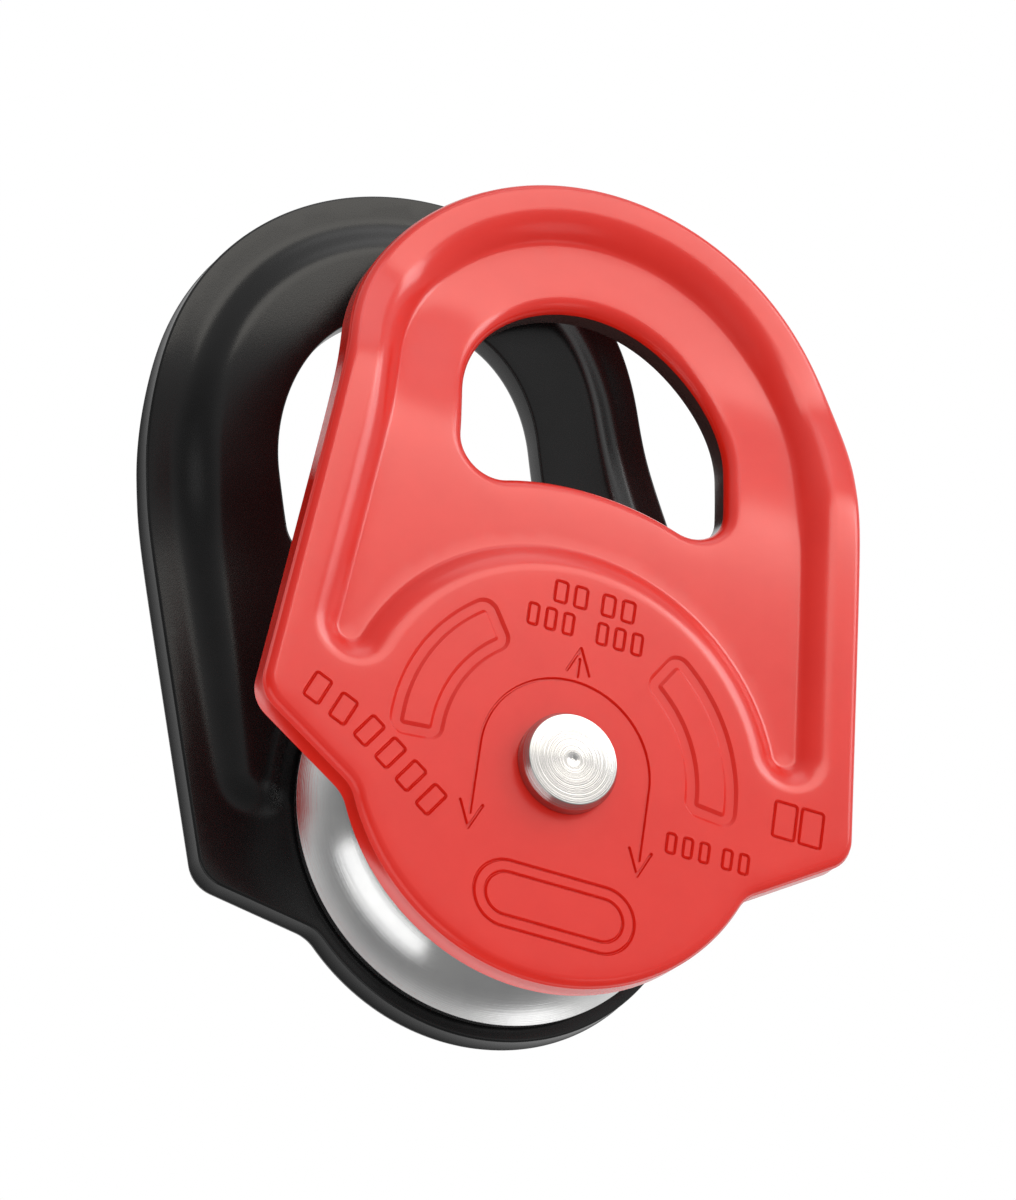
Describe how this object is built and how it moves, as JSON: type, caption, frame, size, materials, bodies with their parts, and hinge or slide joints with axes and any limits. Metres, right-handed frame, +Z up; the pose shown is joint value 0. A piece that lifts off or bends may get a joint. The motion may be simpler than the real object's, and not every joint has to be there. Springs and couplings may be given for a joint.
{
  "type": "rope pulley",
  "caption": "Swing-cheek rope pulley: two cranked side plates with carabiner eyes that turn about an axle, and a grooved sheave on sealed ball bearings between them.",
  "frame": {"origin": "centre of the sheave, on the axle's axis, halfway between the two side plates", "axes": "+Y along the axle towards the black rear plate; +Z up, midway between the two plates' eyes as they stand; +X to the right seen from the red front plate"},
  "size_m": [0.0838, 0.0322, 0.1028],
  "materials": {
    "red_anodised": "satin anodised, red",
    "black_anodised": "satin anodised, black",
    "bright_aluminium": "turned, bright",
    "stainless": "turned stainless steel",
    "bearing_steel": "ground and polished",
    "cage_steel": "pressed sheet",
    "seal_rubber": "matt"
  },
  "bodies": {
    "rear_frame": {"rear_side_plate": "black_anodised", "axle": "stainless", "front_washer": "stainless", "rear_washer": "stainless", "race_spacer": "stainless", "front_inner_race": "bearing_steel", "rear_inner_race": "bearing_steel"},
    "front_plate": {"front_side_plate": "red_anodised"},
    "sheave_wheel": {"sheave": "bright_aluminium", "front_outer_race": "bearing_steel", "rear_outer_race": "bearing_steel", "front_outer_seal": "seal_rubber", "front_inner_seal": "seal_rubber", "rear_outer_seal": "seal_rubber", "rear_inner_seal": "seal_rubber"},
    "front_ball_set": {"front_balls": "bearing_steel", "front_cage_outer_half": "cage_steel", "front_cage_inner_half": "cage_steel", "front_cage_rivets": "cage_steel"},
    "rear_ball_set": {"rear_balls": "bearing_steel", "rear_cage_outer_half": "cage_steel", "rear_cage_inner_half": "cage_steel", "rear_cage_rivets": "cage_steel"}
  },
  "joints": [
    {"name": "front_plate_swing", "type": "hinge", "parent": "rear_frame", "child": "front_plate", "pos_m": [0, 0, 0], "axis": [0, 1, 0], "continuous": true},
    {"name": "sheave_spin", "type": "hinge", "parent": "rear_frame", "child": "sheave_wheel", "pos_m": [0, 0, 0], "axis": [0, 1, 0], "continuous": true},
    {"name": "front_ball_set_orbit", "type": "hinge", "parent": "rear_frame", "child": "front_ball_set", "pos_m": [0, 0, 0], "axis": [0, 1, 0], "continuous": true},
    {"name": "rear_ball_set_orbit", "type": "hinge", "parent": "rear_frame", "child": "rear_ball_set", "pos_m": [0, 0, 0], "axis": [0, 1, 0], "continuous": true}
  ],
  "couplings": [
    {"joint": "front_ball_set_orbit", "follows": "sheave_spin", "ratio": 0.6322},
    {"joint": "rear_ball_set_orbit", "follows": "sheave_spin", "ratio": 0.6322}
  ]
}
